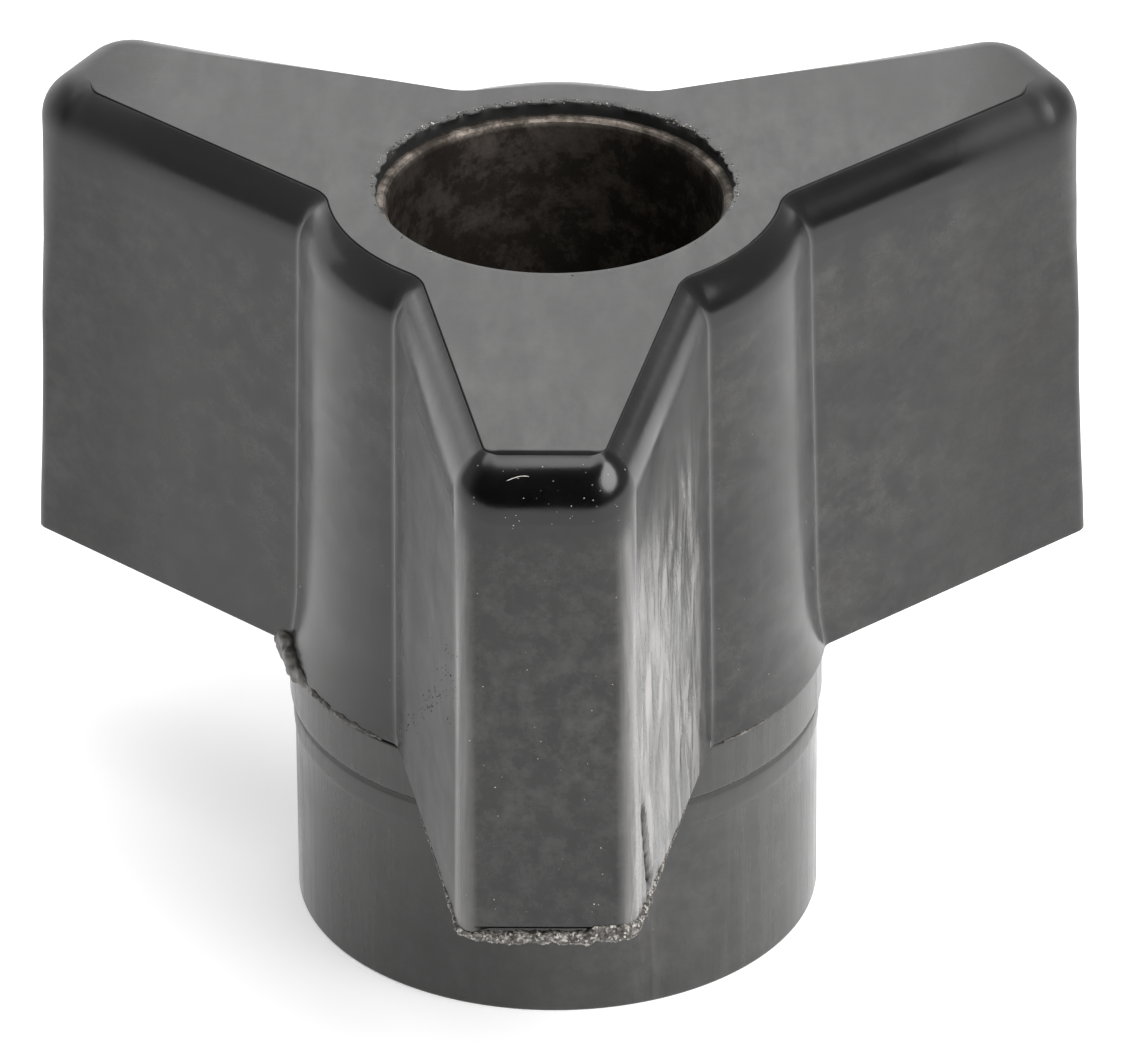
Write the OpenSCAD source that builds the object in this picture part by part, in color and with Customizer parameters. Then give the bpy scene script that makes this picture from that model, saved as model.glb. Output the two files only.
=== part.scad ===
// Three-winged hand nut: a moulded body over a threaded metal insert.
// Millimetres. The origin is on the bore's axis at the face that bears on the work, with +Z up.

/* [Wings] */
// Number of wings
wing_count = 3; // [2:1:4]
// Distance from the bore's axis to a wing's outer end, at its lower edge
tip_r = 30; // [24:0.5:40]
// Thickness of a wing at its outer end, at its lower edge
tip_w = 8.9; // [6:0.1:12]
// Height of a wing, from its lower edge to the top face
wing_h = 26.9; // [18:0.1:40]
// Thickness of a wing where it enters the hub, at its lower edge
wing_root_w = 16.7; // [12.5:0.1:19]
// Moulding draft of the wings' upright faces
wing_draft = 0.8; // [0.3:0.1:1.5]
// Radius of the rounding round the top face
edge_r = 2.9; // [1.5:0.1:3.5]
// Slope at which the rounding meets the top face, which leaves a crisp line there
edge_meet = 28; // [10:1:45]
// Rounding of the top face's own corners
flat_corner_r = 0.3; // [0.1:0.1:1]
// Rounding of the upright corners at a wing's outer end
corner_r = 0.9; // [0.4:0.1:2]

/* [Hub] */
// How far the hub's foot flares outwards
flare_out = 0.45; // [0.3:0.05:1.5]
// Height of the flare
flare_h = 4.5; // [2:0.1:8]
// How far the foot of the flare stands out from the collar under it
flare_lip = 0.1; // [0.05:0.05:0.5]
// Moulding draft of the hub between the wings
hub_draft = 1.24; // [0.4:0.02:1.6]

/* [Neck] */
// Height of the neck, from the bearing face to the wings' lower edge
neck_h = 15; // [10:0.1:30]
// Thickness of the phenolic round the insert at the plain neck
neck_wall = 3.4; // [2:0.05:6]
// How far the collar under the wings stands out from the neck
collar_out = 0.25; // [0.15:0.05:2]
// Height of the collar
collar_h = 3.1; // [1:0.1:5]
// How far the upper edge of the sloped band stands out from the neck
band_out = 0.13; // [0.05:0.01:0.15]
// Height of the sloped band
band_h = 1.6; // [0.5:0.1:4]

/* [Insert] */
// Thickness of the insert round its smooth bore
insert_wall = 1.77; // [1.4:0.01:2.5]
// Depth of the insert's upper end below the top face
insert_recess = 0.7; // [0.3:0.05:2]
// Width of the insert's upper end that the body leaves bare round the bore
ledge_w = 0.57; // [0.46:0.01:1]
// Bevel at the upper end of the smooth bore
clear_bevel = 0.4; // [0.1:0.05:0.45]
// Width of each retaining groove round the insert
groove_w = 3; // [1:0.1:4]
// Depth of each retaining groove
groove_depth = 0.8; // [0.3:0.1:0.9]
// Number of retaining grooves
groove_count = 2; // [1:1:3]
// Number of flutes along the insert, which stop it turning in the body
flute_count = 18; // [6:1:24]
// Diameter of each flute
flute_d = 1.4; // [0.8:0.1:1.6]

/* [Thread] */
// Major diameter of the stud's thread
stud_d = 15.875; // [13:0.005:20]
// Turns of thread to the inch
turns_per_inch = 11; // [9:1:14]
// Number of whole turns in the insert
thread_turns = 7; // [4:1:8]
// How much wider the thread's lead-in is than the stud, on the radius
lead_in = 0.25; // [0.1:0.05:0.6]
// Play of the stud in the smooth bore above the thread, on the radius
stud_play = 0.7925; // [0.3:0.0025:1.5]

/* [Hidden] */

body_colour = [0.11, 0.11, 0.12];
insert_colour = [0.52, 0.48, 0.43];
top_z = neck_h + wing_h;
round_steps = 6;

// How far the top face's rounding reaches inwards and downwards
edge_in = edge_r * (1 - sin(edge_meet));
edge_down = edge_r * cos(edge_meet);
top_corner_r = edge_in + flat_corner_r;

// The band and the collar hang from the wings' lower edge
collar_z = neck_h - collar_h;
band_z = collar_z - band_h;

// Radii from the stud outwards: smooth bore, the body's mouth over the insert, insert, neck, collar
clear_r = stud_d / 2 + stud_play;
mouth_r = clear_r + ledge_w;
insert_r = clear_r + insert_wall;
neck_r = insert_r + neck_wall;
band_r = neck_r + band_out;
collar_r = neck_r + collar_out;

// The hub narrows from the foot of its flare to the top face
foot_r = collar_r + flare_lip;
hub_low_r = foot_r - flare_out;
hub_top_r = hub_low_r - (wing_h - flare_h - edge_down) * tan(hub_draft);

// Each side of a wing runs straight from its tip, through where it enters the hub, to its root.
// The root is inside the hub, clear of the hub's rounded top edge.
enter_x = sqrt(hub_low_r * hub_low_r - wing_root_w * wing_root_w / 4);
wing_taper = atan((wing_root_w - tip_w) / 2 / (tip_r - enter_x));
root_x = hub_top_r / 2;

// The insert fills the neck and stops short of the top face
insert_top = top_z - insert_recess;
groove_step = insert_top / (groove_count + 1);

// Basic profile of a 60 degree inch thread
pitch = 25.4 / turns_per_inch;
major_r = stud_d / 2;
minor_r = major_r - 5 / 8 * pitch * sqrt(3) / 2;
crest_w = pitch / 4;
root_w = pitch / 8;
lead_r = major_r + lead_in;
thread_z = lead_r - minor_r;
thread_top = thread_z + thread_turns * pitch;
clear_z = thread_top + clear_r - minor_r;

// Half the thickness of a wing at distance x from the axis and height z above its lower edge
function wing_half(x, z) = tip_w / 2 + (tip_r - x) * tan(wing_taper) - z * tan(wing_draft);

// Where the middle of a corner of radius r sits, so that it meets the wing's side
function corner_y(x, z, r) = wing_half(x, z) - r / cos(wing_taper);

// The rounding from a wall at radius x up to the top face
function round_over(x) =
    [for (i = [0 : round_steps])
        let (a = (90 - edge_meet) * i / round_steps)
        [x - edge_r + edge_r * cos(a), top_z - edge_down + edge_r * sin(a)]];

// The flare's arc is upright where it starts and reaches flare_out at the wings' lower edge
flare_r = (flare_out * flare_out + flare_h * flare_h) / (2 * flare_out);
flare_angle = asin(flare_h / flare_r);
flare_points = [for (i = [0 : round_steps])
    let (a = flare_angle * (1 - i / round_steps))
    [hub_low_r + flare_r * (1 - cos(a)), neck_h + flare_h - flare_r * sin(a)]];

// One thread groove's half profile, from crest to crest above height z
function thread_groove(z) = [
    [minor_r, z + crest_w / 2],
    [major_r, z + pitch / 2 - root_w / 2],
    [major_r, z + pitch / 2 + root_w / 2],
    [minor_r, z + pitch - crest_w / 2]
];

// The round-edged disc in a wing's upper corner
module corner_top(x, y)
    translate([x, y, 0])
        rotate_extrude($fn = 24)
            polygon(concat([[0, top_z - edge_down]], round_over(top_corner_r), [[0, top_z]]));

// One wing along +X, from inside the hub to its outer end
module wing() {
    upper_tip_x = tip_r - (wing_h - edge_down) * tan(wing_draft) - top_corner_r;
    hull()
        for (side = [-1, 1]) {
            translate([tip_r - corner_r, side * corner_y(tip_r - corner_r, 0, corner_r), neck_h])
                cylinder(r = corner_r, h = corner_r, $fn = 24);
            translate([root_x, side * corner_y(root_x, 0, corner_r), neck_h])
                cylinder(r = corner_r, h = corner_r, $fn = 24);
            corner_top(upper_tip_x, side * corner_y(upper_tip_x, wing_h - edge_down, top_corner_r));
            corner_top(root_x, side * corner_y(root_x, wing_h - edge_down, top_corner_r));
        }
}

// The round hub between the wings, its flared foot, and the neck with its collar and sloped band
module core()
    rotate_extrude($fn = 96)
        polygon(concat(
            [
                [0, 0], [neck_r, 0], [neck_r, band_z], [band_r, collar_z],
                [collar_r, collar_z], [collar_r, neck_h]
            ],
            flare_points,
            round_over(hub_top_r),
            [[0, top_z]]
        ));

// The insert's outside, which the body is moulded around
module insert_blank()
    difference() {
        rotate_extrude($fn = 96)
            polygon(concat(
                [[0, 0], [insert_r, 0]],
                [for (i = [1 : groove_count]) for (p = [
                    [insert_r, i * groove_step - groove_w / 2],
                    [insert_r - groove_depth, i * groove_step - groove_w / 2],
                    [insert_r - groove_depth, i * groove_step + groove_w / 2],
                    [insert_r, i * groove_step + groove_w / 2]
                ]) p],
                [[insert_r, insert_top], [0, insert_top]]
            ));
        // Each flute is half sunk in the outside and stops short of both ends
        for (i = [0 : flute_count - 1])
            rotate([0, 0, 360 * i / flute_count])
                translate([insert_r, 0, flute_d])
                    cylinder(d = flute_d, h = insert_top - 2 * flute_d, $fn = 24);
    }

// The insert's inside: lead-in, thread, smooth bore and bevelled mouth
module insert_bore()
    rotate_extrude($fn = 96)
        polygon(concat(
            [[0, -1], [lead_r, -1], [lead_r, 0], [minor_r, thread_z]],
            [for (i = [0 : thread_turns - 1]) each thread_groove(thread_z + i * pitch)],
            [
                [minor_r, thread_top], [clear_r, clear_z], [clear_r, insert_top - clear_bevel],
                [clear_r + clear_bevel, insert_top], [clear_r + clear_bevel, insert_top + 1],
                [0, insert_top + 1]
            ]
        ));

module wing_body()
    color(body_colour)
        difference() {
            union() {
                core();
                for (i = [0 : wing_count - 1])
                    rotate([0, 0, 360 * i / wing_count - 90])
                        wing();
            }
            insert_blank();
            cylinder(r = mouth_r, h = top_z + 1, $fn = 96);
        }

module threaded_insert()
    color(insert_colour)
        difference() {
            insert_blank();
            insert_bore();
        }

wing_body();
threaded_insert();
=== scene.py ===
# %% [markdown]
# # A three-winged phenolic hand nut
# The nut is one black moulding over one threaded steel insert. Both pieces are lofted from a few real sizes,
# so every visible edge, rounding and flare is geometry, and the finishes add what a mould, a lathe and
# years of handling leave behind, with some painted shade and highlights on the moulding. One unit in the size lists
# is a millimetre; the scene itself is in metres.

# %% Start from the imported part
import math
import random

import bmesh
import bpy
import numpy as np
from mathutils import Matrix, Vector, noise
from mathutils.bvhtree import BVHTree


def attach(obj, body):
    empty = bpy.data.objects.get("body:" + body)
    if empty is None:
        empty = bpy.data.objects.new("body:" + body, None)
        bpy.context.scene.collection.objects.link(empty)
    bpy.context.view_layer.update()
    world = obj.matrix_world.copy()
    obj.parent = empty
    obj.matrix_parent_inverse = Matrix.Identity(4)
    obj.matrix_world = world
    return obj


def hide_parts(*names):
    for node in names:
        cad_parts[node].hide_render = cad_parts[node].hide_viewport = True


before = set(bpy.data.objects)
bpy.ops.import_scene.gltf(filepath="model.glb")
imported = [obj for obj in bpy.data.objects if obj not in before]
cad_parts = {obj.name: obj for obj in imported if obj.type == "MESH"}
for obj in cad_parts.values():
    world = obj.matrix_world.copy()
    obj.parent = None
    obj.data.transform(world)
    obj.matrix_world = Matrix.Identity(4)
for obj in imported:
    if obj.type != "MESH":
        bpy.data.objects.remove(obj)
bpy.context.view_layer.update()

# %% [markdown]
# ## Sizes
# The part's source fixes these: a wing's end, its draft and taper, the hub's flare, the neck's collar and the
# clearance bore. They are repeated here by name so that each step below can be read on its own.

# %% Real sizes of the moulding and the insert
MM = 0.001
TOP_Z, PART_Z, NECK_R, FOOT_R = 41.9, 15.0, 13.9, 14.25
TIP_R, TIP_W, DRAFT, TAPER = 30.0, 8.9, math.radians(0.8), math.radians(11.54)
HUB_LOW_R, HUB_TOP_R, FLARE_TOP = 13.8, 13.38, 19.5
MISMATCH = -0.12  # how far the mould half below the parting plane was set off along X
FILLET_R, MOUTH_R, INSERT_TOP, INSERT_R, CLEAR_R = 0.9, 9.3, 41.2, 10.5, 8.73
ROUND_Z = 38.9
FRONT_ROUND_R, REAR_ROUND_R, MEET = 3.3, 2.3, math.radians(28)
print("wing end", TIP_W, "mm thick on a", 2 * TIP_R, "mm circle, mouth", 2 * MOUTH_R, "mm wide")

# %% [markdown]
# ## The outline of one sixth of the nut
# Seen from above, the moulding repeats six times. From the middle of a wing's end the outline runs to a rounded
# corner, along the tapered side, through a small inside fillet, and round the hub to the middle of the valley.
# Two tangent arcs and one straight line have exact places, so no fitting is needed. Each point also gets the
# direction that faces out of the wall there, because the top rounding moves points in against it.


# %% One sixth of the outline, as points with the direction that each one faces
TIP, CORNER, SIDE, FILLET, HUB = 10, 12, 54, 9, 14
SPAN = TIP + CORNER + SIDE + FILLET + HUB


def arc(centre, radius, start, stop, steps, inward=False):
    """Points on an arc and the way each faces, without the last one."""
    ways = [Vector((math.cos(a), math.sin(a))) for a in (start + (stop - start) * i / steps for i in range(steps))]
    return [(centre + way * radius, -way if inward else way) for way in ways]


def sixth(z, end_out, corner_r, hub_r):
    """The outline at height z, whose wing end stands end_out beyond its drafted place."""
    n, k = Vector((math.sin(TAPER), math.cos(TAPER))), Vector((math.cos(TAPER), -math.sin(TAPER)))
    rise = (z - PART_Z) * math.tan(DRAFT)
    c = n.dot(Vector((TIP_R, TIP_W / 2 - rise)))
    cx = TIP_R - rise + end_out - corner_r
    corner = Vector((cx, (c - corner_r - n.x * cx) / n.y))
    q = n * (c + FILLET_R) + k * math.sqrt((hub_r + FILLET_R) ** 2 - (c + FILLET_R) ** 2)
    from_hub = math.atan2(q.y, q.x)
    points = [(Vector((cx + corner_r, corner.y * i / TIP)), Vector((1, 0))) for i in range(TIP)]
    points += arc(corner, corner_r, 0, math.pi / 2 - TAPER, CORNER)
    first, last = corner + corner_r * n, q - n * FILLET_R
    points += [(first.lerp(last, (i / SIDE) ** 1.35), n) for i in range(SIDE)]
    points += arc(q, FILLET_R, math.atan2(-n.y, -n.x), from_hub - math.pi, FILLET, inward=True)
    points += arc(Vector((0, 0)), hub_r, from_hub, math.pi / 3, HUB)
    end = Vector((math.cos(math.pi / 3), math.sin(math.pi / 3)))
    return points + [(hub_r * end, end)]


print(len(sixth(PART_Z, 0, 0.9, FOOT_R)), "points in a sixth")

# %% [markdown]
# ## Six sixths, each with its own wear
# The three wings came out of one mould, but the front wing's end has a crisp rounding with a step in the mould
# at its upper edge, while the two rear ends are worn soft: their rounding runs out into the flat face with no
# line. So every column of the skin knows its wing, its side and its own rounding.


# %% The columns of the skin and the rounding that each one has
def smooth(t):
    """An even run from 0 to 1, level at both ends."""
    t = min(1.0, max(0.0, t))
    return t * t * (3 - 2 * t)


COLUMNS = []
for wing in range(3):
    COLUMNS += [(wing, 1, i) for i in range(SPAN)] + [((wing + 1) % 3, -1, i) for i in range(SPAN, 0, -1)]


def rounding(wing, side, i):
    """One column's rounding radius, its slope where it meets the flat face, and the small step's length there."""
    in_corner, along = smooth((i - TIP) / CORNER), max(0, i - TIP - CORNER) / SIDE
    if wing == 0:
        step = 0.05 + 0.13 * (1 - smooth((i - TIP) / 8))
        return FRONT_ROUND_R - 0.5 * in_corner, MEET, step
    far = (wing == 1) == (side == 1)
    crease = smooth(along / 0.16)
    if far:
        crease = 0.8 * smooth(along / 0.95) * (1 - smooth((i - SPAN + HUB + FILLET) / (HUB + FILLET)))
    return REAR_ROUND_R + 0.5 * in_corner * crease, MEET * crease, 0.004 + 0.05 * crease


def hub_radius(z):
    """Radius of the hub between the wings, flared at its foot and drafted above."""
    flare = (FOOT_R - HUB_LOW_R) * max(0.0, (FLARE_TOP - z) / (FLARE_TOP - PART_Z)) ** 2
    return HUB_LOW_R + flare - max(0.0, z - FLARE_TOP) * (HUB_LOW_R - HUB_TOP_R) / (ROUND_Z - FLARE_TOP)


SINK = ((15, 0.25), (17, 0.2), (20.5, 0.05), (25, -0.07), (30, -0.05), (32.5, 0.08), (35, 0.35), (37, 0.5),
    (38.9, 0.6))
print("a rear end stands out", [round(float(np.interp(z, *zip(*SINK))), 2) for z in (15, 25, 38.9)],
    "mm at its foot, middle, top")

# %% [markdown]
# ## Levels up the moulding
# The skin is one closed strip that starts at the parting plane, climbs the drafted walls, rolls over the top
# edge, crosses the flat face to the mouth, drops to the insert, follows it down to the bearing face, and comes
# back up the neck, band and collar under the wings. Each level is one row of points.


# %% Rows of the skin
def crack(x, z):
    """Depth of the long crack beside the front wing's right corner, at x along the wing and height z."""
    along = (21.2 - z) / 5.9
    if not 0 < along < 1:
        return 0.0
    off = (TIP_R - x - 2.2 - 1.5 * along) / (0.38 + 0.34 * along)
    return 0.5 * max(0.0, 1 - off * off) * smooth(along / 0.15) * smooth((1 - along) / 0.06)


def wall(z):
    """The outline at a height, as (point, facing) for every column, in each wing's own direction."""
    corner_r = 0.9 + 1.5 * smooth((z - 28) / 11)
    front = sixth(z, 0, corner_r, hub_radius(z))
    rear = sixth(z, float(np.interp(z, *zip(*SINK))), corner_r + 0.6 * smooth((z - 28) / 11), hub_radius(z))
    row = []
    for wing, side, i in COLUMNS:
        point, facing = (front, rear)[wing > 0][i]
        if wing == 0 and side == 1:
            point = point - facing * crack(point.x, z)
        turn = Matrix.Rotation(2 * math.pi * wing / 3 - math.pi / 2, 2)
        row.append((turn @ Vector((point.x, side * point.y)), turn @ Vector((facing.x, side * facing.y))))
    return row


def wall_level(z):
    """The wall at one height, as plain points."""
    return [(p.x, p.y, z) for p, n in wall(z)]


def crease_depth_and_shade(wing, side, i):
    """How deep the crease round the flat face is cut, and how much painted shade it gets, most of all at the front
    wing's end and left side.
    """
    if wing == 0:
        return (1.0 - (0.15 if side < 0 else 0.55) * smooth((i - TIP - 4) / 6))
    return 0.0 if (wing == 1) == (side == 1) else 0.75 * smooth((i - TIP - CORNER - 1) / 8)


AT_ROUND = wall(ROUND_Z)
STEP_SLOPE = math.radians(60)


def rounded_level(share, on_step=0):
    """One row of the rounding, from the wall at 0 to its upper edge at 1, or the upper edge of the step."""
    row = []
    for (p, n), column in zip(AT_ROUND, COLUMNS):
        radius, meet, step = rounding(*column)
        phi = share * (math.pi / 2 - meet)
        inset = radius * (1 - math.cos(phi)) + on_step * (step * math.cos(STEP_SLOPE) + 0.07 * crease_depth_and_shade(*column))
        z = TOP_Z - (1 - on_step) * step * math.sin(STEP_SLOPE) - radius * (math.cos(meet) - math.sin(phi))
        row.append((p.x - n.x * inset, p.y - n.y * inset, z))
    return row


flat = rounded_level(1, 1)
ANGLES = [math.atan2(y, x) for x, y, z in flat]


def between(a, b, t):
    """A row at a share t of the way from row a to row b."""
    return [tuple(p + (q - p) * t for p, q in zip(v, w)) for v, w in zip(a, b)]


def crease_groove():
    """The bottom of the fine groove between the rounding and the flat face."""
    edge, row = rounded_level(1), []
    for (x, y, z), low, column in zip(between(edge, flat, 0.5), edge, COLUMNS):
        row.append((x, y, min(z, low[2]) - 0.09 * crease_depth_and_shade(*column)))
    return row


def ring(r, z, shift=0.0):
    """A round row whose points face the same ways as the flat face's edge."""
    return [(r * math.cos(a) + shift, r * math.sin(a), z) for a in ANGLES]


def below_rounding(t):
    """Rows from the last plain wall level to the start of the rounding, whose height changes along the outline."""
    low, high = wall_level(36.0), rounded_level(0)
    lined = [(x, y, low[j][2]) for j, (x, y, z) in enumerate(wall_level(36 + 2.9 * t))]
    return [(x, y, z + (high[j][2] - z) * t) for j, (x, y, z) in enumerate(lined)]


def chipped(r, z, depth):
    """A ring at the mouth's lip, whose back is broken into small bites."""
    row = []
    for x, y, z0 in ring(r, z):
        a = math.atan2(y, x)
        back = smooth((math.sin(a) + 0.25) / 0.5)
        small = noise.noise(Vector((23 * math.cos(a), 23 * math.sin(a), 8)))
        bite = noise.noise(Vector((11 * math.cos(a), 11 * math.sin(a), 3))) + 0.5 * small
        grow = 1 + back * depth * max(-0.3, bite) / r
        row.append((x * grow, y * grow, z0 - back * 0.25 * depth * max(0.0, bite)))
    return row


def gap_level(z, depth):
    """A wall row with the thin gap that the broken flash left in the middle of the front wing's foot."""
    row = []
    for (p, n), (wing, side, i) in zip(wall(z), COLUMNS):
        inside = depth * (1 - smooth((i - (TIP - (2 if side < 0 else -1))) / 2)) if wing == 0 else 0.0
        row.append((p.x - n.x * inside, p.y - n.y * inside, z))
    return row


# Each point's mark: painted shade above zero, polish below zero.
levels, shade_and_polish = [], []


def put(rows, shade_and_polish_level=0.0):
    """Add rows to the skin, with each column's painted shade (above zero) and polish (below zero) there."""
    for row in rows:
        levels.append(row)
        shade_and_polish.append([shade_and_polish_level(*column) if callable(shade_and_polish_level) else shade_and_polish_level for column in COLUMNS])


def gap_shade(wing, side, i):
    """Painted shade in the gap under the front wing's end."""
    return 1.0 if wing == 0 and i < TIP else 0.0


def crack_shade(z):
    """Painted shade in the crack at one height."""
    front = sixth(z, 0, 0.9, hub_radius(z))
    return lambda wing, side, i: min(1.0, 4 * crack(front[i][0].x, z)) if (wing, side) == (0, 1) else 0.0


# The thin gap behind the broken flash, then the upright walls
# Painted shade: the gap under the front wing's end is darkened and dulled.
put([gap_level(15.0, 0.35), gap_level(15.03, 0.4), gap_level(15.24, 0.4)], gap_shade)
put([gap_level(15.29, 0.1), gap_level(15.31, 0.0)])
# Painted shade: the crack beside the front wing's right corner is darkened.
for z in (15.4, 15.6, 15.9, 16.3, 16.8, 17.3, 17.8, 18.3, 18.8, 19.3, 19.8, 20.3, 20.8, 21.3, 22, 23, 24.5, 26,
    28, 29.5, 31, 32.5, 34, 35):
    put([wall_level(z)], crack_shade(z))
# The rounding, polished towards its top, and the groove and step where it meets the flat face
put([below_rounding(t) for t in (0, 0.25, 0.5)])
put([below_rounding(t) for t in (0.75, 0.93)], -0.5)
put([rounded_level(i / 12) for i in range(12)] + [rounded_level(0.98)], -1.0)
# Painted shade: the crease between the rounding and the flat face is darkened and made matt.
put([rounded_level(1)], crease_depth_and_shade)
put([crease_groove(), flat], crease_depth_and_shade)
# The flat face, the chipped lip, the mouth, and the seat round the insert down to the bearing face
lip = chipped(MOUTH_R + 0.5, TOP_Z, 0)
put([between(flat, lip, t) for t in (0.01, 0.04, 0.12, 0.25, 0.4, 0.55, 0.7, 0.85)])
put([chipped(MOUTH_R + d, TOP_Z, deep) for d, deep in ((0.5, 0), (0.3, 0.1), (0.15, 0.25))])
# Painted shade: the lip's edge and the mouth's wall are darkened and dulled.
put([chipped(MOUTH_R + 0.04, TOP_Z - 0.01, 0.32)], 0.3)
put([chipped(MOUTH_R, TOP_Z - d, deep) for d, deep in ((0.08, 0.3), (0.16, 0.2), (0.3, 0.06), (0.5, 0),
    (0.7, 0))], 0.8)
put([ring(INSERT_R, INSERT_TOP), ring(INSERT_R, 20), ring(INSERT_R, 0)])
# The neck, the sloped band, the groove under the collar, the collar, and the parting line
put([ring(NECK_R + out, z, MISMATCH) for out, z in ((-0.12, 0), (-0.035, 0.03), (0, 0.12), (0, 2), (0, 5),
    (0, 8), (0, 10.1))])
# Painted shade: the sloped band and the groove under the collar are darkened.
put([ring(NECK_R + out, z, MISMATCH) for out, z in ((0.02, 10.25), (0.06, 10.38), (0.08, 10.6), (0.1, 11.2),
    (0.11, 11.5))], 0.12)
put([ring(NECK_R + out, z, MISMATCH) for out, z in ((0.09, 11.64), (0.06, 11.76), (0.07, 11.86),
    (0.12, 11.95))], 0.4)
put([ring(NECK_R + out, z, MISMATCH) for out, z in ((0.19, 12.02), (0.24, 12.12), (0.26, 12.3), (0.25, 12.6),
    (0.25, 13.5), (0.25, 14.6), (0.24, 14.76))])
# Painted shade: the parting line's groove under the foot's edge, and the underside that closes the skin, are
# darkened and dulled.
put([ring(NECK_R + out, z, MISMATCH) for out, z in ((0.2, 14.84), (0.06, 14.9), (-0.1, 14.93))], 1.0)
put([between(levels[-1], levels[0], t) for t in (0.05, 0.5)], 0.6)
print(len(levels), "levels of", len(COLUMNS), "columns")

# %% [markdown]
# ## From a flat sheet to the closed skin
# A flat grid is the raw sheet: its columns follow the outline and its rows the levels. Both directions close on
# themselves, so merging the two seams leaves a solid moulding.


# %% Build the moulding
def loft(name, rows, closed=True, sharp=20, shade_and_polish_rows=None):
    """A closed skin through rows of points in millimetres, which may carry each point's painted shade and polish."""
    bm = bmesh.new()
    layer = bm.verts.layers.float.new("shade_and_polish") if shade_and_polish_rows else None
    around, up = len(rows[0]), len(rows) - (0 if closed else 1)
    bmesh.ops.create_grid(bm, x_segments=around, y_segments=up, size=0.5)
    for v in bm.verts:
        i, j = round((v.co.x + 0.5) * around), round((v.co.y + 0.5) * up)
        v.co = Vector(rows[j % len(rows)][i % around]) * MM
        if shade_and_polish_rows:
            v[layer] = shade_and_polish_rows[j % len(rows)][i % around]
    bmesh.ops.remove_doubles(bm, verts=bm.verts, dist=3e-7)
    bmesh.ops.dissolve_degenerate(bm, edges=bm.edges, dist=1e-7)
    bmesh.ops.recalc_face_normals(bm, faces=bm.faces)
    return finish_mesh(name, bm, sharp)


def finish_mesh(name, bm, sharp=20):
    """Smooth shading with crisp lines where two faces meet at more than the sharp angle."""
    for f in bm.faces:
        f.smooth = True
    for e in bm.edges:
        e.smooth = not (len(e.link_faces) == 2 and e.calc_face_angle(0) > math.radians(sharp))
    loose = sum(1 for e in bm.edges if len(e.link_faces) != 2)
    print(name, len(bm.faces), "faces,", loose, "open edges, volume",
        round(bm.calc_volume(signed=True) * 1e9, 1), "mm3")
    mesh = bpy.data.meshes.new(name)
    bm.to_mesh(mesh)
    bm.free()
    made = bpy.data.objects.new(name, mesh)
    bpy.context.scene.collection.objects.link(made)
    return made


body = loft("phenolic_body", levels, shade_and_polish_rows=shade_and_polish)

# %% [markdown]
# ## The steel insert
# The insert is turned and tapped. Its columns run straight up the smooth bore, and inside the thread they twist
# once per pitch, so a column stays on the crest or in the root all the way and the helix comes out crisp.

# %% Build the insert with a real helical thread
PITCH, MAJOR_R, MINOR_R = 25.4 / 11, 7.9375, 6.688
THREAD_HIGH, CLEAR_Z, LEAD_R = 17.66, 19.71, 8.19
AROUND = 96


def thread_radius(share):
    """Radius of the thread at a share of one pitch, from the middle of a crest."""
    t = abs((share + 0.5) % 1 - 0.5)
    crest, root = 0.125, 0.5 - 0.0625
    if t < crest:
        return MINOR_R
    return MINOR_R + (MAJOR_R - MINOR_R) * min(1.0, (t - crest) / (root - crest))


def thread_twist(z):
    """How far the columns have turned at height z: once per pitch, and no further above the thread."""
    return 2 * math.pi * min(z, THREAD_HIGH) / PITCH


def bore_row(z):
    """One row of the bore: lead-in, thread, or smooth wall."""
    twist = thread_twist(z)
    row = []
    for i in range(AROUND):
        r = thread_radius(i / AROUND)
        r = max(r, LEAD_R - z)
        r = max(r, MINOR_R + max(0.0, z - THREAD_HIGH)) if z >= THREAD_HIGH - PITCH else r
        r = min(CLEAR_R, r) if z < CLEAR_Z else CLEAR_R
        a = 2 * math.pi * i / AROUND + twist
        row.append((r * math.cos(a), r * math.sin(a), z))
    return row


def plain_row(r, z):
    """A round row of the insert whose points line up with the thread's."""
    turned = [2 * math.pi * i / AROUND + thread_twist(z) for i in range(AROUND)]
    return [(r * math.cos(a), r * math.sin(a), z) for a in turned]


rows = [bore_row(THREAD_HIGH * i / 230) for i in range(231)]
rows += [bore_row(THREAD_HIGH + (CLEAR_Z - THREAD_HIGH) * i / 12) for i in range(1, 13)]
rows += [plain_row(CLEAR_R, z) for z in (20.5, 25, 30, 35, 39, 40.7)]
rows += [plain_row(CLEAR_R + r, z) for r, z in ((0.02, 40.86), (0.08, 41.0), (0.2, 41.12), (0.34, 41.18),
    (0.4, 41.2))]
rows += [plain_row(INSERT_R - 0.02, 41.2)]
rows += [plain_row(INSERT_R - 0.02, z) for z in (30, 20)]
rows += [plain_row(INSERT_R - 0.02, THREAD_HIGH * i / 115) for i in range(115, -1, -1)]
insert = loft("steel_insert", rows)

# %% [markdown]
# ## Broken flash at the parting line
# Where the two halves of the mould met, a thin fin of phenolic squeezed out. It was snapped off by hand and left a
# rough ribbon under the front wing's end, a lumpy bead at the left wing's root, and crumbs along the line. Each is
# a tube swept along the outline of the foot. Noise cells as large as the filler's grains push its skin in and out.


# %% Sweep a grainy ribbon along a path
def resample(path, step):
    """Points, facings and distances at equal steps along a path of (point, facing)."""
    gaps = [0.0] + [(b[0] - a[0]).length for a, b in zip(path, path[1:])]
    along = np.cumsum(gaps)
    at = np.arange(0, along[-1], step)
    columns = [np.interp(at, along, [v[k][c] for v in path]) for k in (0, 1) for c in (0, 1)]
    return [(Vector((x, y)), Vector((u, v)).normalized(), float(t)) for x, y, u, v, t in zip(*columns, at)]


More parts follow.
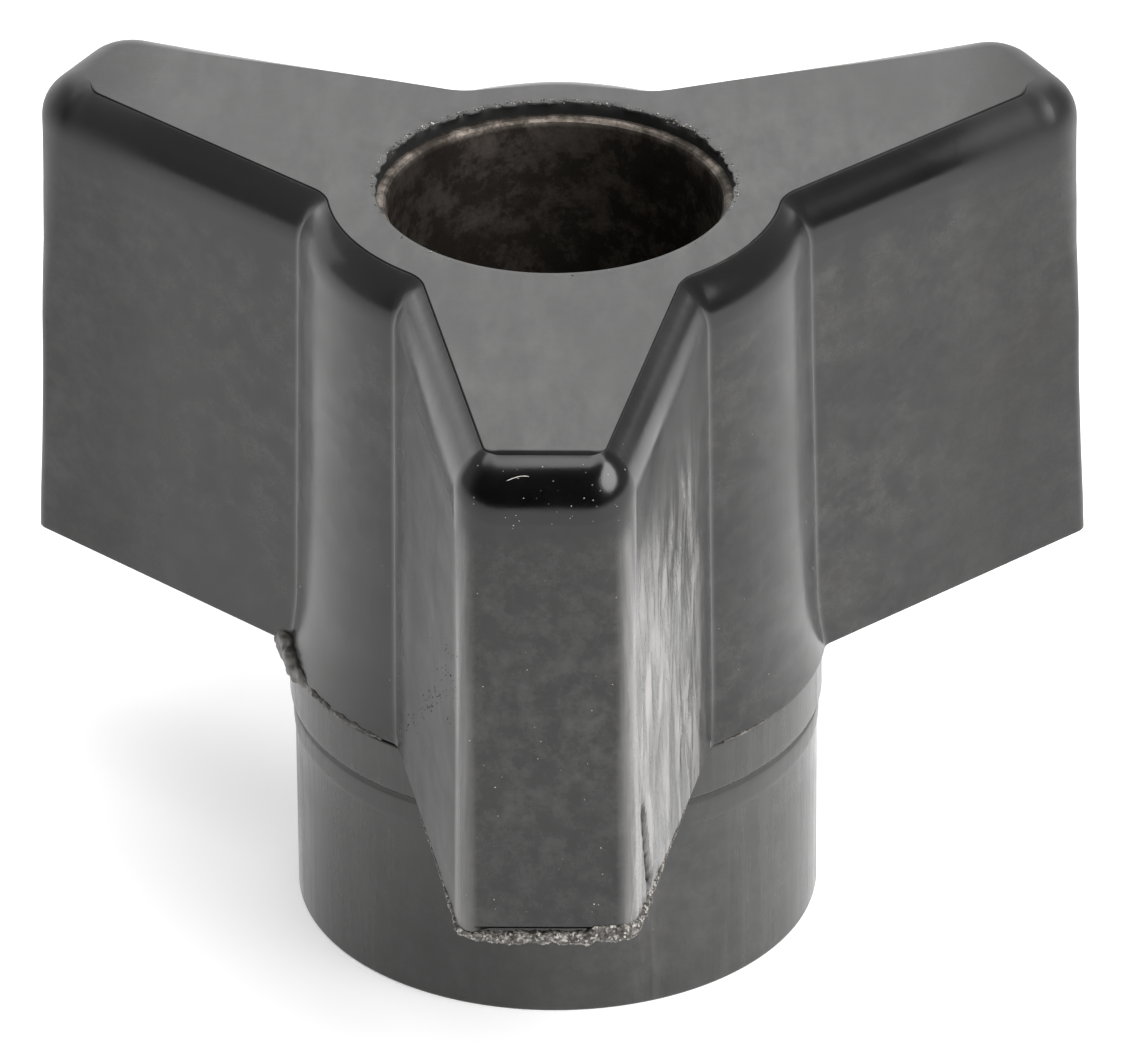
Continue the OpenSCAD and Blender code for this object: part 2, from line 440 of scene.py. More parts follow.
def ribbon(name, path, shape, grain, rough, around=26, step=0.07, seed=0):
    """A closed ribbon; shape gives, at a distance along it, out, height, half width and half thickness."""
    rows = []
    stations = resample(path, step)
    for k, (p, n, t) in enumerate(stations):
        out, z, a, b = shape(t)
        ends = math.sqrt(max(0.0, 1 - (2 * k / (len(stations) - 1) - 1) ** 40))
        row = []
        for j in range(around):
            c, d = math.cos(2 * math.pi * j / around), math.sin(2 * math.pi * j / around)
            base = Vector((*(p + n * (out + a * c * ends)), z + b * d * ends))
            way = Vector((*(n * c), d))
            near = noise.voronoi(base / grain + Vector((seed, 0, 0)))[0]
            push = 0.55 - near[0] + 0.5 * noise.noise(base / (0.45 * grain))
            push = rough * (push + 1.1 * noise.noise(base / (3 * grain)))
            row.append(tuple(base + way * push * ends * min(1.0, b / rough)))
        rows.append(row)
    return loft(name, rows, closed=False, sharp=40)


def along_path(*points):
    """A shape that runs straight between (distance, out, height, half width, half thickness)."""
    return lambda t: [float(np.interp(t, [q[0] for q in points], [q[k] for q in points])) for k in range(1, 5)]


foot = wall(PART_Z)
front_path = [q for q in foot[-SPAN:] + foot[:SPAN] if q[0].y < -17]
middle = sum((b[0] - a[0]).length for a, b in zip(front_path, front_path[1:])) / 2
end_flash = ribbon("end_flash", front_path, along_path(
    (middle - 17, 0.0, 14.96, 0.03, 0.02), (middle - 9, 0.0, 14.95, 0.07, 0.05),
    (middle - 6, 0.0, 14.92, 0.12, 0.1), (middle - 4.6, -0.05, 14.84, 0.2, 0.14),
    (middle - 3.6, -0.12, 14.68, 0.3, 0.24), (middle - 2, -0.16, 14.6, 0.36, 0.31),
    (middle + 1.9, -0.14, 14.6, 0.36, 0.33), (middle + 2.4, -0.08, 14.84, 0.34, 0.44),
    (middle + 3.6, -0.06, 14.94, 0.3, 0.44), (middle + 4.9, -0.05, 15.04, 0.26, 0.4),
    (middle + 6.2, -0.02, 15.0, 0.18, 0.24), (middle + 8.5, 0.0, 14.97, 0.1, 0.12),
    (middle + 12, 0.0, 14.96, 0.05, 0.05), (middle + 17, 0.0, 14.96, 0.03, 0.02)), grain=0.2, rough=0.15)


def foot_arc(start, stop, steps=60):
    """The foot of the hub between two directions in degrees, as (point, facing)."""
    angles = [math.radians(a) for a in np.linspace(start, stop, steps)]
    ways = [Vector((math.cos(a), math.sin(a))) for a in angles]
    return [(way * FOOT_R, way) for way in ways]


bead = ribbon("root_bead", foot_arc(168, 209), along_path(
    (0, 0.1, 14.98, 0.3, 0.2), (2.4, 0.42, 14.95, 0.42, 0.4), (3.6, 0.32, 14.88, 0.42, 0.55),
    (5, 0.14, 14.8, 0.38, 0.6), (6.6, 0.02, 14.74, 0.32, 0.56), (8, -0.04, 14.8, 0.24, 0.4),
    (10.2, -0.02, 14.92, 0.14, 0.16)), grain=0.8, rough=0.2, seed=3)
crumbs = ribbon("left_crumbs", foot_arc(205, 231), along_path(
    (0, -0.02, 14.93, 0.13, 0.13), (3, -0.01, 14.95, 0.12, 0.1), (7, 0.0, 14.97, 0.1, 0.08)),
    grain=0.22, rough=0.13, seed=5)
right_crumbs = ribbon("right_crumbs", foot_arc(308, 327), along_path(
    (0, 0.02, 14.97, 0.1, 0.08), (2, 0.0, 14.99, 0.07, 0.05), (4.5, -0.03, 15.0, 0.04, 0.03)),
    grain=0.2, rough=0.08, seed=7)

# %% [markdown]
# ## Dust, chips and a hair
# The mouth's lip is chipped, and the chips show pale filler. Dust sits on the front wing, with one short hair.
# Small pieces are icospheres with a few faces each, squashed and turned at random from a fixed seed.


# %% Scatter small grains on the skin
random.seed(11)
skin_bm = bmesh.new()
skin_bm.from_mesh(body.data)
skin_tree = BVHTree.FromBMesh(skin_bm)


def landed(start, way):
    """Where a ray from a point in millimetres meets the skin, and the skin's facing there."""
    spot, facing, _, _ = skin_tree.ray_cast(Vector(start) * MM, Vector(way).normalized())
    return None if spot is None else (spot / MM, facing)


def grains(name, spots, small, large, flat=0.6):
    """One mesh of tiny grains at (place, facing), each with its own size and turn."""
    bm = bmesh.new()
    for place, facing in spots:
        size = random.uniform(small, large)
        made = bmesh.ops.create_icosphere(bm, subdivisions=1, radius=size * MM)["verts"]
        upright = Vector(facing).to_track_quat("Z", "Y").to_matrix()
        turn = upright @ Matrix.Rotation(random.uniform(0, 6.3), 3, "Z")
        bmesh.ops.scale(bm, verts=made, vec=(random.uniform(0.6, 1.4), random.uniform(0.6, 1.4), flat))
        bmesh.ops.rotate(bm, verts=made, cent=(0, 0, 0), matrix=turn)
        bmesh.ops.translate(bm, verts=made, vec=Vector(place) * MM)
    return finish_mesh(name, bm, 60)


chips = []
for k in range(260):
    a = math.radians(random.gauss(95, 55))
    r = MOUTH_R + random.uniform(0.1, 0.36)
    if hit := landed((r * math.cos(a), r * math.sin(a), 50), (0, 0, -1)):
        chips.append(hit)
lip_chips = grains("lip_chips", chips, 0.03, 0.085)

dusty = []
for k in range(62):
    x, z = random.uniform(-4.1, 4.1), random.choice((random.uniform(38.5, 41.5), random.uniform(16, 38)))
    dusty.append(landed((x, -50, z), (0, 1, 0)))
for k in range(60):
    a = math.radians(random.uniform(190, 350))
    dusty.append(landed((40 * math.cos(a), 40 * math.sin(a), random.uniform(16, 38)),
        (-math.cos(a), -math.sin(a), 0)))
dust = grains("dust", [hit for hit in dusty if hit], 0.012, 0.034)

pits = []
for k in range(110):
    t = random.random() ** 1.7
    y = -28.4 + 15 * t + random.gauss(0, 0.5 + 0.9 * (t < 0.3))
    z = 29.4 - 12.6 * t + random.gauss(0, 0.12 + 0.8 * (t < 0.3))
    if hit := landed((-30, y, z), (1, 0, 0)):
        pits.append(hit)
side_pits = grains("side_pits", pits, 0.018, 0.05, 0.8)

# %% [markdown]
# ## One short hair
# A fibre from a cloth lies on the polished end. It follows the skin, a little above it, and thins at both ends.

# %% One short hair on the wing's end
hair_line = []
for k in range(25):
    t = k / 24
    hit = landed((-1.9 + 1.15 * t, -50, 40.85 + 0.16 * math.sin(2.2 * t) + 0.05 * t), (0, 1, 0))
    hair_line.append(hit[0] + hit[1] * 0.03)
hair_rows, HAIR_ANGLES = [], np.linspace(0, 2 * math.pi, 8, endpoint=False)
for k, p in enumerate(hair_line):
    way = (hair_line[min(k + 1, 24)] - hair_line[max(k - 1, 0)]).normalized()
    side_way = way.cross(Vector((0, -1, 0))).normalized()
    r = 0.019 * math.sqrt(max(0.0, 1 - (k / 12 - 1) ** 8))
    across = side_way.cross(way)
    hair_rows.append([tuple(p + r * (math.cos(a) * side_way + math.sin(a) * across)) for a in HAIR_ANGLES])
hair = loft("hair", hair_rows, closed=False, sharp=80)
skin_bm.free()

# %% [markdown]
# ## Finishes
# Black phenolic is nearly black inside: what looks grey is the reflection of a bright room in its skin. So the
# colours below are dark, and roughness and relief do most of the work. Three small helpers build every finish.

# %% Colour and node helpers


def linear(code):
    """An sRGB hex colour as the linear RGBA that a shader reads."""
    parts = [int(code[i:i + 2], 16) / 255 for i in (1, 3, 5)]
    return tuple(c / 12.92 if c <= 0.04045 else ((c + 0.055) / 1.055) ** 2.4 for c in parts) + (1.0,)


def new_material(name):
    """A material with only a principled shader, as (material, tree, shader)."""
    material = bpy.data.materials.new(name)
    material.use_nodes = True
    tree = material.node_tree
    tree.nodes.clear()
    out = tree.nodes.new("ShaderNodeOutputMaterial")
    shader = tree.nodes.new("ShaderNodeBsdfPrincipled")
    tree.links.new(shader.outputs["BSDF"], out.inputs["Surface"])
    return material, tree, shader


def add(tree, kind, links=(), **values):
    """One node: its settings by name, its input constants by (socket, value), and what feeds it."""
    node = tree.nodes.new("ShaderNode" + kind)
    for key, value in values.items():
        if hasattr(node, key):
            setattr(node, key, value)
        else:
            node.inputs[key].default_value = value
    for socket, source in dict(links).items():
        tree.links.new(source, node.inputs[socket])
    return node


# %% [markdown]
# ### Black phenolic
# Wood-flour filled phenolic resin, pressed in a polished steel mould: glossy, nearly black, with brownish clouds
# where the filler shows. Drawing it from the mould scored the upright walls from top to bottom, most of all the
# neck and the front wing's right side. So a stretched noise runs along Z for the draw marks, and a round one makes
# the clouds. Both change the roughness as well as the colour, because wear shows mostly in the reflection.

# %% Black phenolic: clouds, draw marks, worn patches, a painted highlight and painted shade
phenolic, tree, skin = new_material("black_phenolic")
place = add(tree, "TexCoord").outputs["Object"]
axes = add(tree, "SeparateXYZ", {0: place})
# Clouds are about 7 mm across, grain about 0.25 mm, draw marks about 0.7 mm wide and 20 times as long.
clouds = add(tree, "TexNoise", {"Vector": place}, Scale=150, Detail=6, Roughness=0.6, Distortion=0.4)
filler_grain = add(tree, "TexNoise", {"Vector": place}, Scale=4200, Detail=2, Roughness=0.7)
rubbed = add(tree, "Mapping", {"Vector": place}, Rotation=(0, 0, 0.9), Scale=(1, 0.35, 1))
scuffs = add(tree, "TexNoise", {"Vector": rubbed.outputs[0]}, Scale=700, Detail=7, Roughness=0.72)
drawn = add(tree, "Mapping", {"Vector": place}, Scale=(1, 1, 0.05))
draw_marks = add(tree, "TexNoise", {"Vector": drawn.outputs[0]}, Scale=1400, Detail=4, Roughness=0.65)
torn = add(tree, "Mapping", {"Vector": place}, Scale=(1, 0.5, 0.13))
tears = add(tree, "TexNoise", {"Vector": torn.outputs[0]}, Scale=1500, Detail=5, Roughness=0.6, Distortion=0.5)

print("noises", [n.inputs["Scale"].default_value for n in tree.nodes if n.type == "TEX_NOISE"], "per metre")

# %% [markdown]
# ### Where the marks are
# Wear isn't even. A thumb and the mould reach some places more than others, so each kind of mark gets a mask made
# from the place on the nut: the neck, the front wing's right side, its left side, and its two upright corners. The
# right side's mask also carries a painted reflection, and the corners' mask is a painted highlight.

# %% Where the marks are
neck_side = add(tree, "MapRange", {"Value": axes.outputs["Z"]}, interpolation_type="SMOOTHSTEP",
    **{"From Min": 0.0152, "From Max": 0.0146})
right_side = add(tree, "MapRange", {"Value": axes.outputs["X"]}, interpolation_type="SMOOTHSTEP",
    **{"From Min": 0.0038, "From Max": 0.0046})
ahead = add(tree, "MapRange", {"Value": axes.outputs["Y"]}, interpolation_type="SMOOTHSTEP",
    **{"From Min": -0.012, "From Max": -0.0165})
low_side = add(tree, "MapRange", {"Value": axes.outputs["Z"]}, interpolation_type="SMOOTHSTEP",
    **{"From Min": 0.038, "From Max": 0.03})
worn = add(tree, "Math", {0: right_side.outputs[0], 1: ahead.outputs[0]}, operation="MULTIPLY")
worn = add(tree, "Math", {0: worn.outputs[0], 1: low_side.outputs[0]}, operation="MULTIPLY")
scored = add(tree, "MapRange", {"Value": draw_marks.outputs[0]}, **{"From Min": 0.46, "From Max": 0.72})
flank = add(tree, "Math", {0: axes.outputs["X"]}, operation="ABSOLUTE")
flank = add(tree, "MapRange", {"Value": flank.outputs[0]}, interpolation_type="SMOOTHSTEP",
    **{"From Min": 0.006, "From Max": 0.0115, "To Min": 0.12, "To Max": 0.8})
neck_side = add(tree, "Math", {0: neck_side.outputs[0], 1: flank.outputs[0]}, operation="MULTIPLY")
left_side = add(tree, "MapRange", {"Value": axes.outputs["X"]}, interpolation_type="SMOOTHSTEP",
    **{"From Min": -0.0042, "From Max": -0.0048})
dulled = add(tree, "Math", {0: left_side.outputs[0], 1: ahead.outputs[0]}, operation="MULTIPLY")
below_top = add(tree, "MapRange", {"Value": axes.outputs["Z"]}, interpolation_type="SMOOTHSTEP",
    **{"From Min": 0.0395, "From Max": 0.0365})
dulled = add(tree, "Math", {0: dulled.outputs[0], 1: below_top.outputs[0]}, operation="MULTIPLY")
# Painted highlight: a pale, streaky stripe down the front wing's two upright corners, below the top.
beside = add(tree, "Math", {0: axes.outputs["X"]}, operation="ABSOLUTE")
beside = add(tree, "MapRange", {"Value": beside.outputs[0]}, interpolation_type="SMOOTHSTEP",
    **{"From Min": 0.00345, "From Max": 0.0042})
at_end = add(tree, "MapRange", {"Value": axes.outputs["Y"]}, interpolation_type="SMOOTHSTEP",
    **{"From Min": -0.0282, "From Max": -0.0288})
painted_corner_highlight = add(tree, "Math", {0: beside.outputs[0], 1: at_end.outputs[0]}, operation="MULTIPLY")
painted_corner_highlight = add(tree, "Math", {0: painted_corner_highlight.outputs[0], 1: below_top.outputs[0]}, operation="MULTIPLY")
highlight_streaks = add(tree, "MapRange", {"Value": draw_marks.outputs[0]},
    **{"From Min": 0.3, "From Max": 0.7, "To Min": 0.3, "To Max": 0.95})
painted_corner_highlight = add(tree, "Math", {0: painted_corner_highlight.outputs[0], 1: highlight_streaks.outputs[0]}, operation="MULTIPLY")
neck_scored = add(tree, "Math", {0: scored.outputs[0], 1: neck_side.outputs[0]}, operation="MULTIPLY")
# Scuffed patches on the front wing's right side; their pale colour is partly a painted reflection of the bright
# floor.
patch = add(tree, "MapRange", {"Value": tears.outputs[0]}, **{"From Min": 0.43, "From Max": 0.66})
scuff_and_painted_sheen = add(tree, "Math", {0: patch.outputs[0], 1: worn.outputs[0]}, operation="MULTIPLY")

print(sum(n.type == "MAP_RANGE" for n in tree.nodes), "ranges make the masks")

# %% [markdown]
# ### Colour
# Layers go on in the order that the real ones came in life: resin, filler grain, haze from handling, marks, polish.
# A painted reflection and a painted highlight on the front wing go on among the marks, and painted shade in the
# creases, gaps and mouth goes on last.

# %% Colour: black to brown-black clouds, grey in the draw marks, a painted sheen and highlight on the front wing, painted black shade in the creases
cloudy = add(tree, "MapRange", {"Value": clouds.outputs[0]}, **{"From Min": 0.36, "From Max": 0.66})
tone = add(tree, "ValToRGB", {0: cloudy.outputs[0]})
for stop, code in zip(tone.color_ramp.elements, ("#0a0a0a", "#1b1918")):
    stop.color = linear(code)
fine = add(tree, "MapRange", {"Value": filler_grain.outputs[0]},
    **{"From Min": 0.45, "From Max": 0.8, "To Max": 0.55})
colour = add(tree, "MixRGB", {"Fac": fine.outputs[0], "Color1": tone.outputs[0]}, Color2=linear("#222120"))
# The mark carried on the skin: painted shade above zero, polish below zero.
shade_and_polish_mark = add(tree, "Attribute", attribute_name="shade_and_polish")
polish = add(tree, "MapRange", {"Value": shade_and_polish_mark.outputs["Fac"]}, **{"From Min": 0.0, "From Max": -1.0})
dull_skin = add(tree, "MapRange", {"Value": polish.outputs[0]}, **{"To Min": 0.72, "To Max": 0.06})
hazy = add(tree, "MapRange", {"Value": scuffs.outputs[0]}, **{"From Min": 0.42, "From Max": 0.75})
broad = add(tree, "TexNoise", {"Vector": place}, Scale=55, Detail=3)
broad = add(tree, "MapRange", {"Value": broad.outputs[0]},
    **{"From Min": 0.35, "From Max": 0.65, "To Min": 0.35, "To Max": 1.3})
hazy = add(tree, "Math", {0: hazy.outputs[0], 1: broad.outputs[0]}, operation="MULTIPLY")
hazy = add(tree, "Math", {0: hazy.outputs[0], 1: dull_skin.outputs[0]}, operation="MULTIPLY")
# Painted shade: the mark's positive part darkens and dulls the creases, gaps, crack, mouth and grooves.
shade_and_polish_level = add(tree, "Math", {0: shade_and_polish_mark.outputs["Fac"]}, operation="MAXIMUM")
shade_and_polish_level.inputs[1].default_value = 0.0
colour = add(tree, "MixRGB", {"Fac": hazy.outputs[0], "Color1": colour.outputs[0]}, Color2=linear("#3f3e3d"))
neck_dull = add(tree, "MapRange", {"Value": axes.outputs["Z"]},
    **{"From Min": 0.0152, "From Max": 0.0146, "To Max": 0.4})
colour = add(tree, "MixRGB", {"Fac": neck_dull.outputs[0], "Color1": colour.outputs[0]},
    Color2=linear("#4a4a49"))
colour = add(tree, "MixRGB", {"Fac": neck_scored.outputs[0], "Color1": colour.outputs[0]},
    Color2=linear("#444443"))
# Partly painted reflection: pale grey scuffs on the front wing's right side.
colour = add(tree, "MixRGB", {"Fac": scuff_and_painted_sheen.outputs[0], "Color1": colour.outputs[0]},
    Color2=linear("#8c8a88"))
# Painted highlight on the front wing's upright corners.
colour = add(tree, "MixRGB", {"Fac": painted_corner_highlight.outputs[0], "Color1": colour.outputs[0]},
    Color2=linear("#6f6e6d"))
polished = add(tree, "Math", {0: polish.outputs[0]}, operation="MULTIPLY")
polished.inputs[1].default_value = 0.85
colour = add(tree, "MixRGB", {"Fac": polished.outputs[0], "Color1": colour.outputs[0]},
    Color2=linear("#030303"))
# Painted shade: near black where the mark is positive.
colour = add(tree, "MixRGB", {"Fac": shade_and_polish_level.outputs[0], "Color1": colour.outputs[0]}, Color2=linear("#040404"))
tree.links.new(colour.outputs[0], skin.inputs["Base Color"])
print(sum(n.type == "MIX_RGB" for n in tree.nodes), "layers of colour")

# %% [markdown]
# ### Roughness
# Clean resin mirrors the room. Every kind of wear adds its own share of roughness on top of it.

# %% Roughness: glossy skin, duller in the clouds, draw marks and worn patches, dead matt in the painted shade
gloss = add(tree, "MapRange", {"Value": clouds.outputs[0]},
    **{"From Min": 0.32, "From Max": 0.7, "To Min": 0.13, "To Max": 0.27})
gloss = add(tree, "Math", {0: neck_scored.outputs[0], 2: gloss.outputs[0]}, operation="MULTIPLY_ADD")
gloss.inputs[1].default_value = 0.16
gloss = add(tree, "Math", {0: scuff_and_painted_sheen.outputs[0], 2: gloss.outputs[0]}, operation="MULTIPLY_ADD")
gloss.inputs[1].default_value = 0.22
gloss = add(tree, "Math", {0: dulled.outputs[0], 2: gloss.outputs[0]}, operation="MULTIPLY_ADD")
gloss.inputs[1].default_value = 0.3
worn_end = add(tree, "Math", {0: axes.outputs["X"]}, operation="ABSOLUTE")
worn_end = add(tree, "MapRange", {"Value": worn_end.outputs[0]}, interpolation_type="SMOOTHSTEP",
    **{"From Min": 0.0195, "From Max": 0.0245, "To Max": 0.26})
gloss = add(tree, "Math", {0: gloss.outputs[0], 1: worn_end.outputs[0]}, operation="ADD")
gloss = add(tree, "Math", {0: shade_and_polish_level.outputs[0], 2: gloss.outputs[0]}, operation="MULTIPLY_ADD", use_clamp=True)
gloss.inputs[1].default_value = 0.7
tree.links.new(gloss.outputs[0], skin.inputs["Roughness"])
print("rear ends add up to", round(worn_end.inputs["To Max"].default_value, 2), "to the roughness")

# %% [markdown]
# ### Relief
# Marks this shallow would waste geometry, so the shading normal carries them.

# %% Relief: draw marks 0.01 mm deep, tears on the worn side, and the faint orange peel of pressed resin
score_depth = add(tree, "MapRange", {"Value": neck_side.outputs[0]}, **{"To Min": 0.3, "To Max": 1.0})
peel = add(tree, "TexNoise", {"Vector": place}, Scale=650, Detail=3, Roughness=0.5)
relief = add(tree, "Bump", {"Height": peel.outputs[0]}, Strength=1.0, Distance=6e-6)
relief = add(tree, "Bump", {"Height": draw_marks.outputs[0], "Strength": score_depth.outputs[0],
    "Normal": relief.outputs[0]}, Distance=2e-5)
relief = add(tree, "Bump", {"Height": tears.outputs[0], "Strength": worn.outputs[0],
    "Normal": relief.outputs[0]}, Distance=7e-5)
tree.links.new(relief.outputs[0], skin.inputs["Normal"])
skin.inputs["IOR"].default_value = 1.6
skin.inputs["Specular IOR Level"].default_value = 0.345
body.data.materials.append(phenolic)
print("phenolic nodes", len(tree.nodes))

# %% [markdown]
# ### Broken phenolic
# Where the flash snapped, the resin's glossy skin is gone and the filler shows: pale and dark grains about
# 0.15 mm across, dull, with a few that glint. Voronoi cells give each grain its own grey.

# %% Broken phenolic for the flash and the chips
broken, tree, rubble = new_material("broken_phenolic")
place = add(tree, "TexCoord").outputs["Object"]
cells = add(tree, "TexVoronoi", {"Vector": place}, Scale=7500, Randomness=1.0)
cell_values = add(tree, "SeparateColor", {0: cells.outputs["Color"]})
tone = add(tree, "ValToRGB", {0: cell_values.outputs[0]})
tone.color_ramp.elements.new(0.62).color = linear("#69645e")
tone.color_ramp.elements[0].color, tone.color_ramp.elements[2].color = linear("#2b2825"), linear("#d8d3cb")
dusting = add(tree, "TexNoise", {"Vector": place}, Scale=9000, Detail=2)
tone = add(tree, "MixRGB", {"Fac": dusting.outputs[0], "Color1": tone.outputs[0]}, blend_type="MULTIPLY",
    Color2=linear("#544f4a"))
tree.links.new(tone.outputs[0], rubble.inputs["Base Color"])
dull = add(tree, "MapRange", {"Value": cell_values.outputs[1]}, **{"To Min": 0.3, "To Max": 0.85})
tree.links.new(dull.outputs[0], rubble.inputs["Roughness"])
rubble.inputs["IOR"].default_value = 1.6
for piece in (end_flash, lip_chips):
    piece.data.materials.append(broken)
print("broken phenolic nodes", len(tree.nodes))

# %% [markdown]
# ### Squeezed flash at the wing's root
# This bead kept part of its resin skin, so it is darker and smoother than the broken ribbon, with brown grime.

# %% Grimy bead
grimy, tree, lump = new_material("grimy_phenolic")
place = add(tree, "TexCoord").outputs["Object"]
mottle = add(tree, "TexNoise", {"Vector": place}, Scale=1300, Detail=5, Roughness=0.7)
tone = add(tree, "ValToRGB", {0: mottle.outputs[0]})
tone.color_ramp.elements[0].position, tone.color_ramp.elements[1].position = 0.35, 0.7
tone.color_ramp.elements[0].color, tone.color_ramp.elements[1].color = linear("#1b1a19"), linear("#6b6660")
tree.links.new(tone.outputs[0], lump.inputs["Base Color"])
dull = add(tree, "MapRange", {"Value": mottle.outputs[0]}, **{"To Min": 0.25, "To Max": 0.6})
tree.links.new(dull.outputs[0], lump.inputs["Roughness"])
lump.inputs["IOR"].default_value = 1.6
for piece in (bead, crumbs, right_crumbs):
    piece.data.materials.append(grimy)
print("grimy phenolic nodes", len(tree.nodes))

# %% [markdown]
# ### Pit shade, dust and lint
# The pits on the wing's side are near-black grains laid on the skin, painted shade standing in for each pit's
# hollow. Dust and lint are pale fibres that scatter light evenly.

# %% Painted pit shade, dust and lint
for name, codes, roughness, pieces in (("painted_pit_shade", ("#050505", "#100e0d"), 0.95, (side_pits,)),
    ("pale_lint", ("#8d8a85", "#cfccc6"), 0.9, (dust, hair))):
    loose, tree, speck = new_material(name)
    patchy = add(tree, "TexNoise", {"Vector": add(tree, "TexCoord").outputs["Object"]}, Scale=6000, Detail=2)
    tone = add(tree, "ValToRGB", {0: patchy.outputs[0]})
    for stop, code in zip(tone.color_ramp.elements, codes):
        stop.color = linear(code)
    tree.links.new(tone.outputs[0], speck.inputs["Base Color"])
    speck.inputs["Roughness"].default_value = roughness
    for piece in pieces:
        piece.data.materials.append(loose)
    print(name, "on", [piece.name for piece in pieces])

# %% [markdown]
# ### Dulled steel
# A turned and tapped bush of plain steel, stained by oil and old rust. A metal's colour is its reflection, so the
# stains darken that colour in brown-grey patches of 1 to 4 mm, and the cleaner metal between them is a bit smoother.

# %% Dulled steel with stains
steel, tree, metal = new_material("dulled_steel")
place = add(tree, "TexCoord").outputs["Object"]
stains = add(tree, "TexNoise", {"Vector": place}, Scale=360, Detail=8, Roughness=0.75)
tone = add(tree, "ValToRGB", {0: stains.outputs[0]})
for at, code in ((0.47, "#46413c"), (0.56, "#756d66"), (0.7, "#a69e98")):
    tone.color_ramp.elements.new(at).color = linear(code)
tone.color_ramp.elements[0].color, tone.color_ramp.elements[0].position = linear("#342f2b"), 0.34
tree.links.new(tone.outputs[0], metal.inputs["Base Color"])
metal.inputs["Metallic"].default_value = 1.0
dull = add(tree, "MapRange", {"Value": stains.outputs[0]},
    **{"From Min": 0.35, "From Max": 0.65, "To Min": 0.62, "To Max": 0.42})
tree.links.new(dull.outputs[0], metal.inputs["Roughness"])
pitted = add(tree, "TexNoise", {"Vector": place}, Scale=2600, Detail=3)
relief = add(tree, "Bump", {"Height": pitted.outputs[0]}, Strength=1.0, Distance=1.2e-5)
tree.links.new(relief.outputs[0], metal.inputs["Normal"])
insert.data.materials.append(steel)
print("steel nodes", len(tree.nodes))

# %% [markdown]
# ## Tie the pieces to the part
# The nut is one rigid body, so every piece rides the root. The moulding and the insert each stand in for their
# plain node, and the small pieces only add to the moulding.

# %% Ride and replace
for piece, node, slot in ((body, "wing_body", "phenolic"), (insert, "threaded_insert", "insert_steel")):
    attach(piece, "root")
    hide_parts(node)
extras = (end_flash, bead, crumbs, right_crumbs, lip_chips, dust, side_pits, hair)
for piece in extras:
    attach(piece, "root")
print(2 + len(extras), "pieces ride the root")

# %% [markdown]
# ## Floor
# A sheet of white paper. It gives off a little light of its own, which keeps the nut's shadow soft and pale.

# %% Floor
bm = bmesh.new()
bmesh.ops.create_circle(bm, cap_ends=True, segments=96, radius=1.6)
floor_mesh = bpy.data.meshes.new("floor")
bm.to_mesh(floor_mesh)
bm.free()
floor = bpy.data.objects.new("floor", floor_mesh)
bpy.context.scene.collection.objects.link(floor)
paper, tree, matte = new_material("white_paper")
matte.inputs["Base Color"].default_value = linear("#e0e0e0")
matte.inputs["Roughness"].default_value = 0.9
matte.inputs["Emission Color"].default_value = (1, 1, 1, 1)
matte.inputs["Emission Strength"].default_value = 0.36
floor.data.materials.append(paper)
print("floor", floor.dimensions.x, "m across")

# %% [markdown]
# ## Light
# The room is dim in front and brighter behind, so upright faces turn grey towards their edges. Panels above and
# behind light the flat face, a strip draws the left edges, and a round one at the right front gives the shine.

# %% Light
scene = bpy.context.scene
scene.view_settings.view_transform = "Standard"
world = bpy.data.worlds.new("studio")
scene.world = world
world.use_nodes = True
sky = world.node_tree
gaze = add(sky, "SeparateXYZ", {0: add(sky, "TexCoord").outputs["Generated"]})
from_front = add(sky, "MapRange", {0: gaze.outputs["Y"]}, interpolation_type="SMOOTHSTEP")
for socket, value in (("From Min", -0.62), ("From Max", -0.02), ("To Min", 0.02), ("To Max", 0.55)):
    from_front.inputs[socket].default_value = value
aside = add(sky, "MapRange", {0: gaze.outputs["X"]})
for socket, value in (("From Min", -1), ("From Max", 1), ("To Min", 1.05), ("To Max", 0.7)):
    aside.inputs[socket].default_value = value
walls = add(sky, "Math", {0: from_front.outputs[0], 1: aside.outputs[0]}, operation="MULTIPLY")
sky.nodes["Background"].inputs["Color"].default_value = (1, 1, 1, 1)
sky.links.new(walls.outputs[0], sky.nodes["Background"].inputs["Strength"])


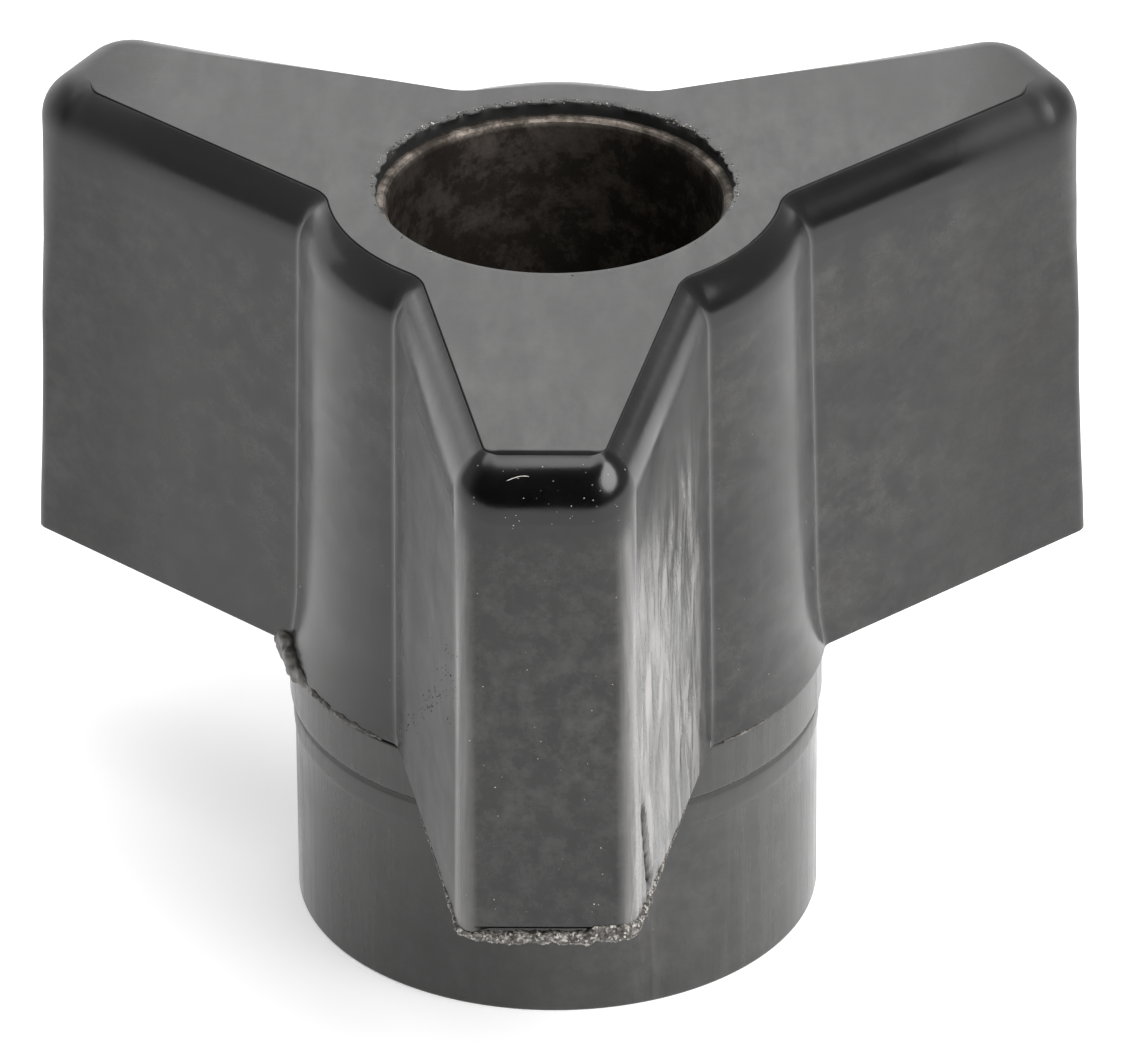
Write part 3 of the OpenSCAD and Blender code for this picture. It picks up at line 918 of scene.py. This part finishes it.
def softbox(name, direction, distance, size, radiance, shape="RECTANGLE"):
    """A panel that faces the nut; its power comes from the radiance that its reflection should have."""
    data = bpy.data.lights.new(name, "AREA")
    data.shape = shape
    data.size = size[0]
    if shape == "RECTANGLE":
        data.size_y = size[1]
    data.energy = radiance * math.pi * size[0] * size[1] * (1 if shape == "RECTANGLE" else math.pi / 4)
    light = bpy.data.objects.new(name, data)
    way = Vector(direction).normalized()
    light.location = way * distance + Vector((0, 0, 0.02))
    light.rotation_mode = "QUATERNION"
    light.rotation_quaternion = way.to_track_quat("Z", "Y")
    light.visible_camera = False
    scene.collection.objects.link(light)
    print(name, round(data.energy, 2), "W")
    return light


softbox("overhead_back", (0, 0.42, 0.9), 0.9, (0.95, 1.8), 1.5)
softbox("strip_left", (-0.72, 0.66, 0.2), 0.55, (0.4, 0.24), 0.7)
softbox("back_sweep", (0, 1, 0.16), 0.9, (1.5, 0.3), 1.3)
softbox("zenith", (0, -0.2, 0.98), 0.85, (0.9, 0.26), 2.4)
softbox("key_right", (0.60, -0.50, 0.63), 0.6, (0.5, 0.5), 8, "DISK")

# %% [markdown]
# ## Camera
# A long lens from well back keeps the three wings in proportion. It looks down by about 30 degrees.

# %% Camera
camera = bpy.data.objects.new("camera", bpy.data.cameras.new("camera"))
scene.collection.objects.link(camera)
scene.camera = camera
camera.data.lens = 373.1
camera.data.clip_start, camera.data.clip_end = 0.05, 20
azimuth, elevation, distance = math.radians(1.22), math.radians(30.07), 0.616
level = math.cos(elevation)
back = Vector((math.sin(azimuth) * level, -math.cos(azimuth) * level, math.sin(elevation)))
right = Vector((math.cos(azimuth), math.sin(azimuth), 0))
target = Vector((0, 0, 0.0215)) + right * 0.00028
camera.rotation_mode = "QUATERNION"
camera.location = target + back * distance
roll = Matrix.Rotation(math.radians(-0.42), 3, "Z").to_quaternion()
camera.rotation_quaternion = (-back).to_track_quat("-Z", "Y") @ roll
print("camera", distance, "m away with a", round(camera.data.lens, 1), "mm lens")
